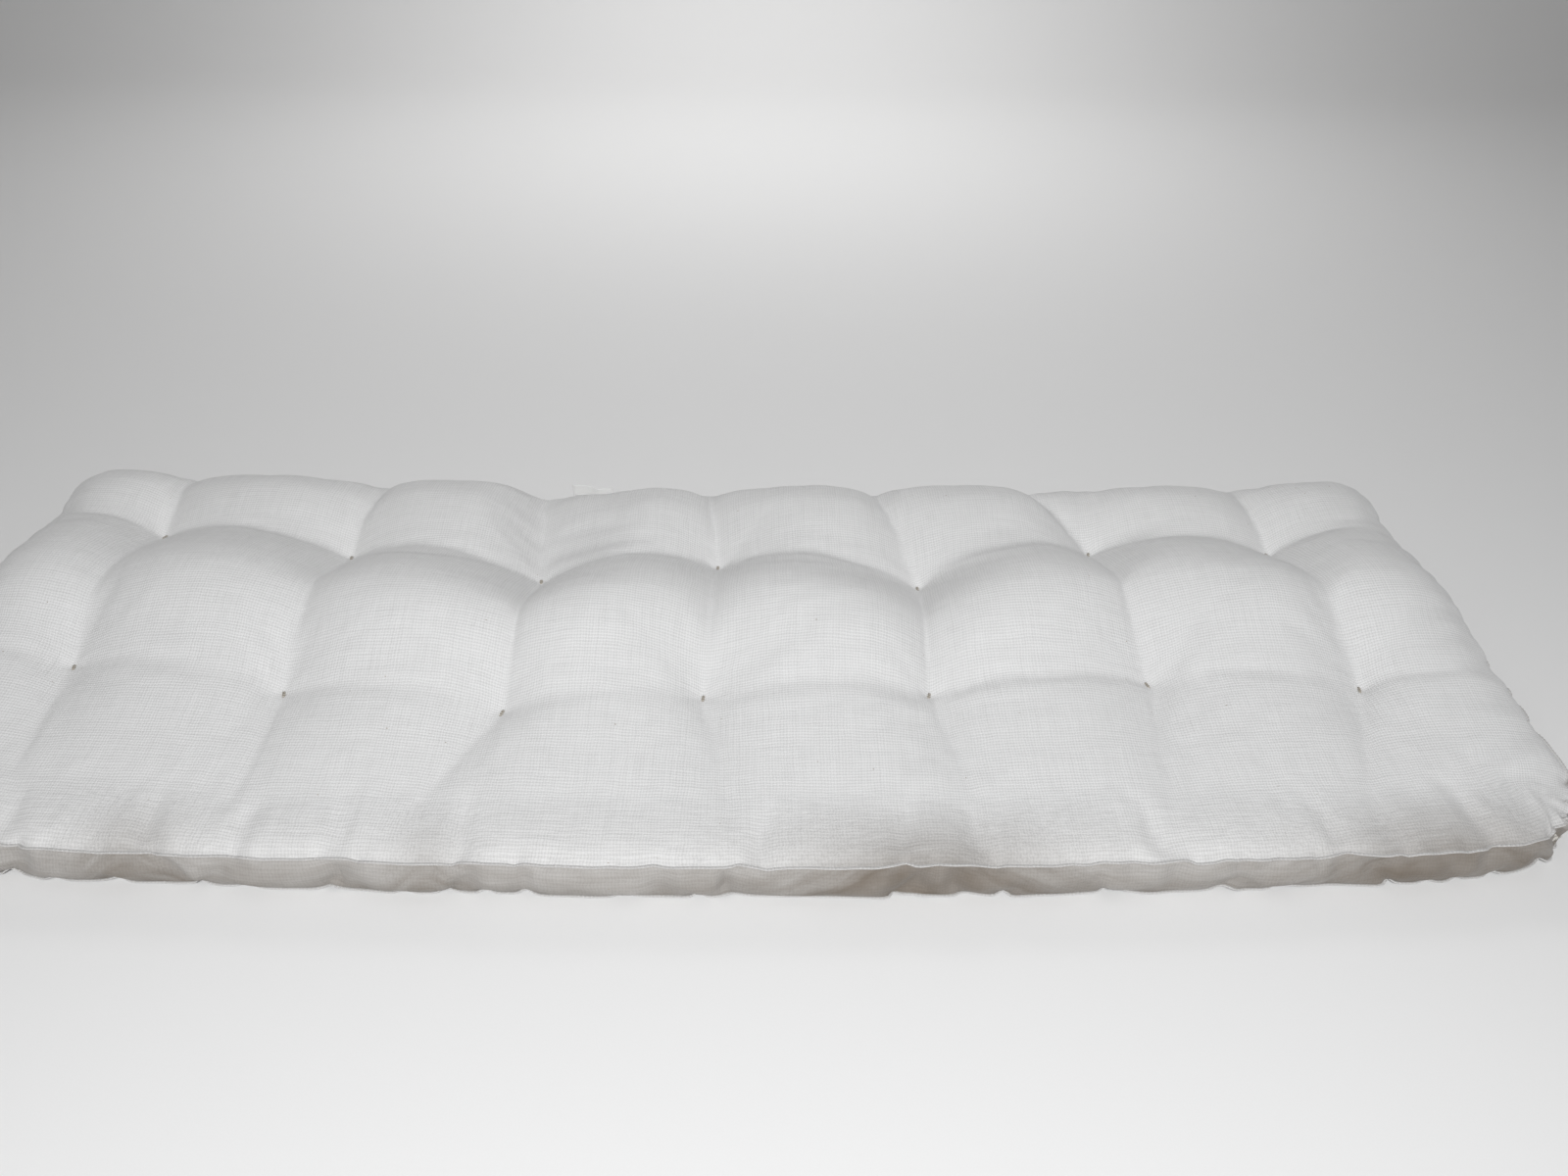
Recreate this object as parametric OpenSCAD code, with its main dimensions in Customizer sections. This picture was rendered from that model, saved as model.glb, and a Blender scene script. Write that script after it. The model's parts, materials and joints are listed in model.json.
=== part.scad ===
// Tufted futon mattress: a boxed cotton casing filled with cotton batting round a thin foam core,
// and tied through from top to bottom in rows of tufts.
// +X runs along the length and +Z is up. The origin is on the floor, under the middle.
// The mattress folds in half across the middle, so every piece that crosses the fold is in two
// parts, left (-X) and right (+X).

/* [Mattress] */
// Length over the edge seams
mattress_l = 1900; // [1580:10:2300]
// Width over the edge seams
mattress_w = 700; // [580:10:1000]
// Height of the crowns between the tufts
mattress_h = 140; // [115:1:170]
// How far the top slopes in from the edge before it is level
edge_run = 110; // [90:1:130]
// How far the underside curves in before it lies flat
underside_run = 30; // [24:1:36]

/* [Tufts] */
// Tufts in a row along the length
tuft_cols = 7; // [5:1:9]
// Rows of tufts across the width
tuft_rows = 2; // [2:1:3]
// From the edge of the casing to the nearest tufts
tuft_margin = 214; // [178:1:258]
// Height of the tufts on the top
tuft_top_z = 60; // [50:1:72]
// Height of the tufts on the underside
tuft_bottom_z = 18; // [14:1:22]
// Level width left between two neighbouring dimples
crown_land = 34; // [20:1:42]
// Radius of a dimple on the underside
underside_dimple_r = 50; // [40:1:60]
// Radius of the cloth that a tuft holds flat
tuft_seat_r = 9; // [8:0.5:11]
// Diameter of the tufting twine
twine_d = 2.5; // [2:0.1:3]
// Length of the bar of stitches on the top of a tuft
bar_l = 13; // [10:0.5:15]
// Width of the bar of stitches
bar_w = 2.8; // [2.2:0.1:3.4]
// Height of the bar of stitches
bar_h = 1.6; // [1.2:0.1:2]
// Diameter of the knot under a tuft
knot_d = 7; // [6:0.5:8.5]

/* [Casing] */
// Thickness of the casing cloth
cloth_t = 1.5; // [1.2:0.1:1.8]
// Height of the seam between the top panel and the border
top_seam_z = 48; // [40:1:58]
// Height of the seam between the bottom panel and the border
bottom_seam_z = 14; // [11:1:17]
// Height of a sewn edge
seam_h = 1.6; // [1.2:0.1:2]
// How far a sewn edge stands out of the casing
seam_ridge = 2; // [1.6:0.1:2.4]
// Width of the care label
label_w = 58; // [45:1:70]
// Height of the care label above its seam
label_h = 32; // [26:1:40]
// Thickness of the folded care label
label_t = 1.2; // [0.8:0.1:1.4]
// From the middle of the mattress to the middle of the care label
label_offset = 198; // [160:1:240]

/* [Filling] */
// Thickness of the foam core between the tufts
core_t = 46; // [38:1:56]
// Layers of cotton batting on each side of the core
batting_layers = 3; // [2:1:4]

/* [Fold and clearances] */
// Gap between the two halves at the fold
fold_gap = 1; // [0.6:0.1:1.4]
// Gap round the twine where it goes through cloth and filling
twine_clearance = 0.3; // [0.2:0.05:0.4]
// Gap between one layer of filling and the next, and between the filling and the casing
layer_gap = 0.3; // [0.2:0.05:0.4]

/* [Hidden] */
$fn = 48;
LEFT = -1;
RIGHT = 1;
SIDES = [LEFT, RIGHT];
over = 1; // how far a cut runs past what it cuts
arc_steps = 8; // straight stretches in a quarter of the edge
dimple_steps = 5; // cones in the side of a dimple

body_l = mattress_l - 2 * seam_ridge;
body_w = mattress_w - 2 * seam_ridge;
pitch_l = (body_l - 2 * tuft_margin) / (tuft_cols - 1);
pitch_w = (body_w - 2 * tuft_margin) / (tuft_rows - 1);
dimple_r = (min(pitch_l, pitch_w) - crown_land) / 2;

// The tufts are sewn by hand, so each is a little off the grid: [along, across], from the left end.
// Rows past the second use these again, and so do columns past the seventh.
WANDER = [
    [[-26, 58], [-8, 12], [4, -18], [-14, 10], [4, 18], [20, 40], [26, 34]],
    [[-40, 76], [-14, 28], [6, -26], [-8, 12], [12, -32], [12, 54], [16, 56]]];
// The rows of tufts wander across in full from this spacing on, and by less where they lie closer
WANDER_PITCH = 268;

BATTING = [for (place = ["lower", "upper"]) for (n = [1:batting_layers]) [place, n]];
TIES = [for (row = [1:tuft_rows]) for (col = [1:tuft_cols]) [row, col]];
ROW_NAMES = ["front", "back", "third"];

// The fold runs straight across, beside the knots of the middle tufts
middle_x = [for (tie = TIES) if (2 * tie[1] == tuft_cols + 1) tuft_at(tie[0], tie[1])[0]];
fold_x = max(concat([0], middle_x)) + knot_d / 2 + fold_gap;
border_z = [bottom_seam_z + seam_h / 2, top_seam_z - seam_h / 2];
fill_h = mattress_h - 2 * cloth_t;
core_low = (fill_h - core_t) / 2 / fill_h; // the underside of the core, as a share of the filling

cotton_cloth = [0.88, 0.87, 0.85];
cotton_fill = [0.93, 0.91, 0.86];
foam = [0.93, 0.88, 0.62];
twine = [0.42, 0.38, 0.33];
tape = [0.97, 0.97, 0.96];

function side_name(name, side) = str(name, side == LEFT ? "_left" : "_right");
function batting_name(layer, side) = side_name(str(layer[0], "_batting_", layer[1]), side);
function tie_name(tie) = str("tuft_tie_", ROW_NAMES[tie[0] - 1], "_", tie[1]);

function lerp(a, b, f) = a + (b - a) * f;
function wander(row, col) =
    let (full = WANDER[(row - 1) % 2][(col - 1) % 7])
    [full[0], full[1] * min(1, pitch_w / WANDER_PITCH)];
function tuft_at(row, col) =
    [(col - (tuft_cols + 1) / 2) * pitch_l, (row - (tuft_rows + 1) / 2) * pitch_w] + wander(row, col);
// Where the tufts are whose dimples, of the given radius, reach one side of the fold
function tufts_near(side, reach) =
    [for (tie = TIES) let (at = tuft_at(tie[0], tie[1])) if (side * (at[0] - fold_x) > -reach) at];

// The right-hand edge of the casing in section, from the floor to the crown
function edge_outline(half, inset) = concat(
    [for (i = [0:arc_steps]) let (a = 90 * i / arc_steps)
        [half - inset - underside_run * (1 - sin(a)), lerp(bottom_seam_z, inset, cos(a))]],
    [for (i = [0:arc_steps]) let (a = 90 * i / arc_steps)
        [half - inset - edge_run * (1 - cos(a)), lerp(top_seam_z, mattress_h - inset, sin(a))]]);

// The side of a dimple, from its seat out to its rim, between the heights of the two
function dimple_side(rim_r, seat_z, rim_z) =
    [for (i = [0:dimple_steps]) let (f = i / dimple_steps)
        [lerp(tuft_seat_r, rim_r, f), lerp(seat_z, rim_z, pow(sin(90 * f), 2))]];

// A section of the casing, drawn across half the given extent and mirrored
module section(half, inset) {
    right = edge_outline(half, inset);
    polygon(concat(right, [for (i = [len(right) - 1:-1:0]) [-right[i][0], right[i][1]]]));
}

// The untufted mattress, in from its outer surface by the inset
module pad(inset) {
    intersection() {
        rotate([90, 0, 90])
            linear_extrude(height = body_l, center = true)
                section(body_w / 2, inset);
        rotate([90, 0, 0])
            linear_extrude(height = body_w, center = true)
                section(body_l / 2, inset);
    }
}

module at_tufts(places) {
    for (at = places)
        translate([at[0], at[1], 0])
            children();
}

// Everything below a tufted surface that is level at rim_z and held at seat_z by the tufts
module below_surface(side, rim_z, seat_z, rim_r) {
    side_line = concat([[0, seat_z]], dimple_side(rim_r, seat_z, rim_z));
    slab_l = body_l + 2 * over;
    slab_w = body_w + 2 * over;
    if (seat_z < rim_z)
        difference() {
            translate([-slab_l / 2, -slab_w / 2, -over])
                cube([slab_l, slab_w, rim_z + over]);
            at_tufts(tufts_near(side, rim_r))
                rotate_extrude()
                    polygon(concat(side_line, [[rim_r, rim_z + over], [0, rim_z + over]]));
        }
    else
        union() {
            translate([-slab_l / 2, -slab_w / 2, -over])
                cube([slab_l, slab_w, rim_z + over]);
            at_tufts(tufts_near(side, rim_r))
                rotate_extrude()
                    polygon(concat(side_line, [[rim_r, rim_z - over / 2], [0, rim_z - over / 2]]));
        }
}

// The surface a given share of the way up through the filling, moved up by lift
module below_level(side, f, lift) {
    below_surface(side,
        lerp(cloth_t, mattress_h - cloth_t, f) + lift,
        lerp(tuft_bottom_z + cloth_t, tuft_top_z - cloth_t, f) + lift,
        lerp(underside_dimple_r, dimple_r, f));
}

// Keeps one side of the fold
module one_half(side) {
    reach = mattress_l;
    start = fold_x + side * fold_gap / 2;
    intersection() {
        children();
        translate([side == LEFT ? start - reach : start, -mattress_w, -over])
            cube([reach, 2 * mattress_w, mattress_h + 2 * over]);
    }
}

module twine_holes(side) {
    at_tufts(tufts_near(side, 0))
        translate([0, 0, -over])
            cylinder(d = twine_d + 2 * twine_clearance, h = mattress_h);
}

// The part of the casing that lies below the seam between the top panel and the border
module below_top_seam() {
    inside_l = body_l - 2 * cloth_t;
    inside_w = body_w - 2 * cloth_t;
    difference() {
        translate([-body_l / 2 - over, -body_w / 2 - over, -over])
            cube([body_l + 2 * over, body_w + 2 * over, top_seam_z + seam_h / 2 + over]);
        translate([-inside_l / 2, -inside_w / 2, border_z[0]])
            cube([inside_l, inside_w, mattress_h]);
    }
}

module top_panel(side) {
    color(cotton_cloth)
        one_half(side)
            difference() {
                intersection() {
                    pad(0);
                    below_surface(side, mattress_h + over, tuft_top_z, dimple_r);
                }
                intersection() {
                    pad(cloth_t);
                    below_surface(side, mattress_h + over - cloth_t, tuft_top_z - cloth_t, dimple_r);
                }
                below_top_seam();
                twine_holes(side);
            }
}

module bottom_panel(side) {
    color(cotton_cloth)
        one_half(side)
            difference() {
                pad(0);
                pad(cloth_t);
                translate([-mattress_l, -mattress_w, bottom_seam_z - seam_h / 2])
                    cube([2 * mattress_l, 2 * mattress_w, mattress_h]);
                at_tufts(tufts_near(side, underside_dimple_r))
                    translate([0, 0, -over])
                        cylinder(r = underside_dimple_r, h = over + bottom_seam_z);
            }
    color(cotton_cloth)
        one_half(side)
            difference() {
                at_tufts(tufts_near(side, underside_dimple_r))
                    underside_dimple();
                twine_holes(side);
            }
}

// The cloth of one dimple on the underside, from its seat down to the level cloth round it
module underside_dimple() {
    outer = dimple_side(underside_dimple_r, tuft_bottom_z, 0);
    inner = [for (i = [dimple_steps:-1:0]) outer[i] + [0, cloth_t]];
    rotate_extrude()
        polygon(concat([[0, tuft_bottom_z]], outer, inner, [[0, tuft_bottom_z + cloth_t]]));
}

module border_strip(side, size, y) {
    start = fold_x + side * fold_gap / 2;
    translate([side == LEFT ? start - size[0] : start, y, border_z[0]])
        cube([size[0], size[1], border_z[1] - border_z[0]]);
}

function half_l(side) = body_l / 2 - side * (fold_x + side * fold_gap / 2);

module front_border(side) {
    color(cotton_cloth)
        border_strip(side, [half_l(side), cloth_t], -body_w / 2);
}

module back_border(side) {
    color(cotton_cloth)
        border_strip(side, [half_l(side), cloth_t], body_w / 2 - cloth_t);
}

// The strip across one end, sewn in between the front and back strips
module end_border(side) {
    color(cotton_cloth)
        translate([side == LEFT ? -body_l / 2 : body_l / 2 - cloth_t, cloth_t - body_w / 2, border_z[0]])
            cube([cloth_t, body_w - 2 * cloth_t, border_z[1] - border_z[0]]);
}

// A sewn edge: the turned edges of panel and border, stitched together round the mattress
module edge_seam(side, z) {
    one_half(side)
        difference() {
            translate([-mattress_l / 2, -mattress_w / 2, z - seam_h / 2])
                cube([mattress_l, mattress_w, seam_h]);
            translate([cloth_t - body_l / 2, cloth_t - body_w / 2, z - seam_h])
                cube([body_l - 2 * cloth_t, body_w - 2 * cloth_t, 2 * seam_h]);
        }
}

module top_edge_seam(side) {
    color(cotton_cloth)
        edge_seam(side, top_seam_z);
}

module bottom_edge_seam(side) {
    color(cotton_cloth)
        edge_seam(side, bottom_seam_z);
}

// One layer of filling between two shares of its height
module fill_layer(side, low, high) {
    one_half(side)
        difference() {
            intersection() {
                pad(cloth_t + layer_gap);
                below_level(side, high, -layer_gap / 2);
            }
            below_level(side, low, layer_gap / 2);
            twine_holes(side);
        }
}

module foam_core(side) {
    color(foam)
        fill_layer(side, core_low, 1 - core_low);
}

// Batting layers are numbered upwards from the floor in the lower stack and from the core in the upper
module batting(layer, side) {
    share = core_low / batting_layers;
    base = layer[0] == "lower" ? 0 : 1 - core_low;
    color(cotton_fill)
        fill_layer(side, base + (layer[1] - 1) * share, base + layer[1] * share);
}

// The stitches that hold a tuft down on the top, across the rows
module stitch_bar() {
    bar_run = bar_l - bar_w;
    translate([-bar_w / 2, -bar_run / 2, 0])
        cube([bar_w, bar_run, bar_h]);
    for (end = [-1, 1])
        translate([0, end * bar_run / 2, 0])
            cylinder(d = bar_w, h = bar_h);
}

// Twine from the bar of stitches on the top to the knot on the underside
module tuft_tie(tie) {
    color(twine)
        at_tufts([tuft_at(tie[0], tie[1])]) {
            translate([0, 0, tuft_bottom_z - over])
                cylinder(d = twine_d, h = tuft_top_z - tuft_bottom_z + 2 * over);
            translate([0, 0, tuft_top_z])
                stitch_bar();
            translate([0, 0, tuft_bottom_z - knot_d / 2])
                sphere(d = knot_d);
        }
}

// A blank folded tape, caught in the top seam at the back
module care_label() {
    seam_y = body_w / 2 + (seam_ridge - label_t) / 2;
    color(tape)
        translate([-label_offset - label_w / 2, seam_y, top_seam_z + seam_h / 2])
            cube([label_w, label_t, label_h]);
}

for (side = SIDES) {
    top_panel(side);
    bottom_panel(side);
    front_border(side);
    back_border(side);
    end_border(side);
    top_edge_seam(side);
    bottom_edge_seam(side);
    foam_core(side);
    for (layer = BATTING)
        batting(layer, side);
}
for (tie = TIES)
    tuft_tie(tie);
care_label();
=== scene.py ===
"""A tufted futon mattress in coarse off-white cotton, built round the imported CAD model.

The casing starts as a flat cloth box. A cloth simulation draws it to the form of the filling,
holds it at the tufts and edges and blows it up, and most small wrinkles are then smoothed out.
The seams, ties, label and filling are made to fit the cloth that comes of it.
Lengths are in metres. +X runs along the mattress, the front is at -Y and the floor is z = 0.
"""

import json
import math

import bpy
import numpy as np
from mathutils import Matrix, Vector
from mathutils.bvhtree import BVHTree


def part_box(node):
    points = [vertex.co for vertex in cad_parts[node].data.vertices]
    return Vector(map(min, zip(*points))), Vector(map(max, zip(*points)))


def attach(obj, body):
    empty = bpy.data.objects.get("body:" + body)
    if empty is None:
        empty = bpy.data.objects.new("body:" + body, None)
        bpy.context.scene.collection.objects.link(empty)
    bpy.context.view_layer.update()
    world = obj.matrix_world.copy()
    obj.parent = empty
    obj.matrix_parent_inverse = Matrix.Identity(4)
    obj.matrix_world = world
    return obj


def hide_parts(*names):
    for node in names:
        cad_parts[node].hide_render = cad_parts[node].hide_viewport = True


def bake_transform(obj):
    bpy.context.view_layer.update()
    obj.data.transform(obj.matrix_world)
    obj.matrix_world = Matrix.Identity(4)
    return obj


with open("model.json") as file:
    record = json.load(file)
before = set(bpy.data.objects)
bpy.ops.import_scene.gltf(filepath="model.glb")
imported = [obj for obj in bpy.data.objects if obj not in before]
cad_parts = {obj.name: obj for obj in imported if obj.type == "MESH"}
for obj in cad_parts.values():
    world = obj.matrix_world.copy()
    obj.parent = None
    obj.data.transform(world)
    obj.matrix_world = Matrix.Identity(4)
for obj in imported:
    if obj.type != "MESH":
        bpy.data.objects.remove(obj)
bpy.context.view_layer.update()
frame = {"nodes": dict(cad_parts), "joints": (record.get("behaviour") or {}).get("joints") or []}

# ---------------------------------------------------------------- places in the CAD model

SIDES = ("left", "right")


def both(name):
    """The two CAD nodes of a piece that crosses the fold."""
    return [f"{name}_{side}" for side in SIDES]


def box_of(names):
    """The lowest and highest corner of several CAD nodes together."""
    boxes = [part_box(name) for name in names]
    return np.min([b[0] for b in boxes], axis=0), np.max([b[1] for b in boxes], axis=0)


BODY_LOW, BODY_HIGH = box_of(both("top_panel"))
BODY_L, BODY_W = BODY_HIGH[0] - BODY_LOW[0], BODY_HIGH[1] - BODY_LOW[1]
CROWN_Z = BODY_HIGH[2]
SEAM_Z = [float(sum(b[2] for b in box_of(both(name)))) / 2 for name in ("top_edge_seam", "bottom_edge_seam")]
FOLD_X = frame["joints"][0]["pos_m"][0]

BAR_H = 0.0016  # the bar of stitches stands this far above the top of a tuft
KNOT_D = 0.007  # the knot hangs this far below the underside of a tuft
TIES = sorted(name for name in frame["nodes"] if name.startswith("tuft_tie"))
TUFT_XY = {name: np.mean([c[:2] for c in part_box(name)], axis=0) for name in TIES}
TUFT_TOP_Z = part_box(TIES[0])[1].z - BAR_H
TUFT_BOTTOM_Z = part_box(TIES[0])[0].z + KNOT_D
FOLDING_TIES = 4  # ties up to this column ride on the left half

# Ties nearer the fold than this stay where they are, on neither half
FOLD_END = (FOLD_X + 0.070, 0.0, 0.0)

# ---------------------------------------------------------------- camera, floor and light

CAMERA_AT = (0.061, -1.163, 0.949)
CAMERA_PITCH = 35.2  # degrees below level
CAMERA_YAW = 0.9
CAMERA_ROLL = 1.0
CAMERA_LENS = 27.0  # mm on a 36 mm wide sensor


def place_camera():
    camera = bpy.data.objects.new("camera", bpy.data.cameras.new("camera"))
    bpy.context.scene.collection.objects.link(camera)
    bpy.context.scene.camera = camera
    camera.data.sensor_width = 36.0
    camera.data.lens = CAMERA_LENS
    turn = (Matrix.Rotation(math.radians(-CAMERA_YAW), 4, "Z")
            @ Matrix.Rotation(math.radians(90 - CAMERA_PITCH), 4, "X")
            @ Matrix.Rotation(math.radians(CAMERA_ROLL), 4, "Z"))
    camera.matrix_world = Matrix.Translation(CAMERA_AT) @ turn


def area_light(name, at, size, power, colour, aim=(0.0, 0.0, 0.05)):
    light = bpy.data.lights.new(name, "AREA")
    light.shape = "DISK"
    light.size = size
    light.energy = power
    light.color = colour
    lamp = bpy.data.objects.new(name, light)
    bpy.context.scene.collection.objects.link(lamp)
    lamp.location = at
    lamp.rotation_euler = (Vector(aim) - Vector(at)).to_track_quat("-Z", "Y").to_euler()


def light_scene():
    area_light("key_light", (0.05, -2.15, 1.95), 0.55, 63.0, (0.99, 0.995, 1.0))
    area_light("soft_fill", (0.9, -0.2, 2.6), 2.0, 4.0, (0.94, 0.97, 1.0))
    area_light("paper_light", (0.0, 2.6, 1.9), 2.4, 30.0, (1.0, 1.0, 1.0), aim=(0.0, 3.1, 0.0))
    world = bpy.data.worlds.new("studio")
    bpy.context.scene.world = world
    world.use_nodes = True
    background = world.node_tree.nodes["Background"]
    background.inputs["Color"].default_value = (1.0, 0.995, 0.985, 1.0)
    background.inputs["Strength"].default_value = 0.17
    bpy.context.scene.view_settings.view_transform = "Standard"


def lay_floor():
    """One sheet of studio paper that curves up behind the mattress."""
    half_w, front, back, sweep, rise = 6.0, -5.0, 3.2, 1.2, 4.0
    profile = [(front, 0.0), (0.0, 0.0), (back, 0.0)]
    steps = 12
    for k in range(1, steps + 1):
        a = math.pi / 2 * k / steps
        profile.append((back + sweep * math.sin(a), sweep * (1 - math.cos(a))))
    profile.append((back + sweep, rise))
    verts = [(x, y, z) for y, z in profile for x in (-half_w, half_w)]
    faces = [(2 * k, 2 * k + 1, 2 * k + 3, 2 * k + 2) for k in range(len(profile) - 1)]
    floor = new_piece("studio_floor", verts, faces, paper())


# ---------------------------------------------------------------- material nodes


TURN = 6.2832  # radians


class Nodes:
    """Short calls for building one material."""

    def __init__(self, name):
        self.material = bpy.data.materials.new(name)
        self.material.use_nodes = True
        self.tree = self.material.node_tree
        self.shader = self.tree.nodes["Principled BSDF"]

    def put(self, value, socket):
        if isinstance(value, bpy.types.NodeSocket):
            self.tree.links.new(value, socket)
        else:
            socket.default_value = value

    def math(self, operation, a, b=0.0, c=0.0):
        node = self.tree.nodes.new("ShaderNodeMath")
        node.operation = operation
        for socket, value in zip(node.inputs, (a, b, c)):
            self.put(value, socket)
        return node.outputs[0]

    def place(self, attribute=None):
        """The piece's own coordinates: a stored attribute, or its place at rest."""
        if attribute is None:
            return self.tree.nodes.new("ShaderNodeTexCoord").outputs["Object"]
        node = self.tree.nodes.new("ShaderNodeAttribute")
        node.attribute_name = attribute
        return node.outputs["Vector"]

    def stretched(self, vector, scale):
        node = self.tree.nodes.new("ShaderNodeVectorMath")
        node.operation = "MULTIPLY"
        self.put(vector, node.inputs[0])
        node.inputs[1].default_value = scale
        return node.outputs[0]

    def split(self, vector):
        node = self.tree.nodes.new("ShaderNodeSeparateXYZ")
        self.put(vector, node.inputs[0])
        return node.outputs

    def noise(self, vector, scale, detail=2.0, roughness=0.5):
        node = self.tree.nodes.new("ShaderNodeTexNoise")
        self.put(vector, node.inputs["Vector"])
        node.inputs["Scale"].default_value = scale
        node.inputs["Detail"].default_value = detail
        node.inputs["Roughness"].default_value = roughness
        return node.outputs["Fac"]

    def cells(self, vector, scale):
        node = self.tree.nodes.new("ShaderNodeTexVoronoi")
        self.put(vector, node.inputs["Vector"])
        node.inputs["Scale"].default_value = scale
        return node.outputs["Distance"]

    def fade(self, value, low, high, to_low=0.0, to_high=1.0):
        node = self.tree.nodes.new("ShaderNodeMapRange")
        node.clamp = True
        self.put(value, node.inputs["Value"])
        for name, number in (("From Min", low), ("From Max", high), ("To Min", to_low), ("To Max", to_high)):
            node.inputs[name].default_value = number
        return node.outputs[0]

    def mix(self, factor, a, b):
        node = self.tree.nodes.new("ShaderNodeMix")
        node.data_type = "RGBA"
        self.put(factor, node.inputs["Factor"])
        for socket, value in ((node.inputs[6], a), (node.inputs[7], b)):
            self.put(value, socket)
        return node.outputs[2]

    def bump(self, height, distance, strength, below=None):
        node = self.tree.nodes.new("ShaderNodeBump")
        self.put(height, node.inputs["Height"])
        node.inputs["Distance"].default_value = distance
        node.inputs["Strength"].default_value = strength
        if below is not None:
            self.put(below, node.inputs["Normal"])
        return node.outputs[0]

    def finish(self, colour, roughness, normal, sheen=0.0, specular=0.2):
        self.put(colour, self.shader.inputs["Base Color"])
        self.put(roughness, self.shader.inputs["Roughness"])
        self.put(normal, self.shader.inputs["Normal"])
        self.shader.inputs["Sheen Weight"].default_value = sheen
        self.shader.inputs["Sheen Roughness"].default_value = 0.5
        self.shader.inputs["Specular IOR Level"].default_value = specular
        return self.material


def grey(value, warmth=0.0):
    """A near-neutral colour, a little redder and less blue for a positive warmth."""
    return (value + warmth, value, value - warmth, 1.0)


THREAD_ALONG = 0.00345  # from one crossways thread to the next
THREAD_ACROSS = 0.0040  # from one lengthways thread to the next


def woven_cotton(name, light, dark, painted_darkening_scale=0.0):
    """A coarse plain weave on the cloth's own flat coordinates, in slubby hand-spun cotton."""
    n = Nodes(name)
    flat = n.place("cloth_flat")
    s, t, edge = n.split(flat)
    drift_s = n.math("MULTIPLY", n.noise(flat, 28.0, 2.0), 1.6)
    drift_t = n.math("MULTIPLY", n.noise(n.stretched(flat, (1.0, 1.0, 7.0)), 23.0, 2.0), 1.6)
    u = n.math("ADD", n.math("DIVIDE", s, THREAD_ALONG), drift_s)
    v = n.math("ADD", n.math("DIVIDE", t, THREAD_ACROSS), drift_t)
    wave_u = n.math("COSINE", n.math("MULTIPLY", u, math.pi))
    wave_v = n.math("COSINE", n.math("MULTIPLY", v, math.pi))
    over = n.math("MULTIPLY", wave_u, n.math("SIGN", wave_v))
    under = n.math("MULTIPLY", wave_v, n.math("SIGN", wave_u))
    # The lengthways threads are the thicker ones, so they show as ribs
    lengthways = n.math("MULTIPLY", n.math("ABSOLUTE", wave_v), n.math("MULTIPLY_ADD", over, 0.34, 0.66))
    crossways = n.math("MULTIPLY", n.math("ABSOLUTE", wave_u), n.math("MULTIPLY_ADD", under, -0.34, 0.56))
    slub = n.noise(n.stretched(flat, (18.0, 250.0, 1.0)), 1.0, 2.0)
    slub_across = n.noise(n.stretched(flat, (290.0, 14.0, 1.0)), 1.0, 2.0)
    yarn = n.math("ADD", n.math("MAXIMUM", lengthways, crossways),
                  n.math("MULTIPLY", n.math("ADD", slub, slub_across), 0.55))
    fuzz = n.noise(flat, 1900.0, 2.0, 0.6)
    relief = n.math("MULTIPLY_ADD", fuzz, 0.25, yarn)

    # Darker where the relief is low: painted shade in the gaps between the threads, along with the lighter
    # and darker slubs of the yarn
    gap_shade_and_slub = n.fade(relief, 0.55, 1.55)
    colour = n.mix(gap_shade_and_slub, dark, light)
    mottle = n.fade(n.noise(flat, 9.0, 3.0), 0.3, 0.7, 0.0, 0.30)
    colour = n.mix(mottle, colour, grey(0.73, 0.003))
    # The cloth is darkened towards a brown as much as its third coordinate says: painted shade on the top
    # panel's front edge and on the border, an even darkening on the bottom panel
    painted_darkening = n.math("MULTIPLY", n.fade(edge, 0.0, 1.0), painted_darkening_scale)
    painted_darkening = n.math("MULTIPLY", painted_darkening, n.fade(n.noise(flat, 16.0, 3.0), 0.25, 0.75, 0.75, 1.0))
    colour = n.mix(painted_darkening, colour, (0.165, 0.135, 0.105, 1.0))
    # Flecks of seed husk that were spun into the cotton
    fleck_shape = n.cells(n.stretched(flat, (1.0, 1.7, 1.0)), 34.0)
    fleck = n.math("MULTIPLY", n.fade(fleck_shape, 0.030, 0.045, 1.0, 0.0),
                   n.fade(n.noise(flat, 11.0, 1.0), 0.52, 0.56, 0.0, 0.75))
    colour = n.mix(fleck, colour, (0.27, 0.20, 0.13, 1.0))

    creases = n.bump(n.noise(n.stretched(flat, (1.0, 1.6, 1.0)), 30.0, 2.0, 0.5), 0.0022, 0.25)
    normal = n.bump(relief, 0.00055, 0.75, creases)
    roughness = n.fade(relief, 0.4, 1.6, 0.98, 0.86)
    return n.finish(colour, roughness, normal, sheen=0.12, specular=0.15)


def twisted_thread(name, light, dark, pitch):
    """Plied thread: strands that run slantwise round it."""
    n = Nodes(name)
    turns, along, _ = n.split(n.place("cloth_flat"))
    strand = n.math("SINE", n.math("ADD", n.math("MULTIPLY", turns, TURN),
                                   n.math("DIVIDE", along, pitch / TURN)))
    hair = n.noise(n.place("cloth_flat"), 700.0, 2.0)
    relief = n.math("MULTIPLY_ADD", hair, 0.6, strand)
    # Darker where the relief is low: painted shade in the grooves between the strands
    colour = n.mix(n.fade(relief, -0.9, 1.4), dark, light)
    return n.finish(colour, 0.85, n.bump(relief, 0.0003, 0.8), sheen=0.1)


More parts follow.
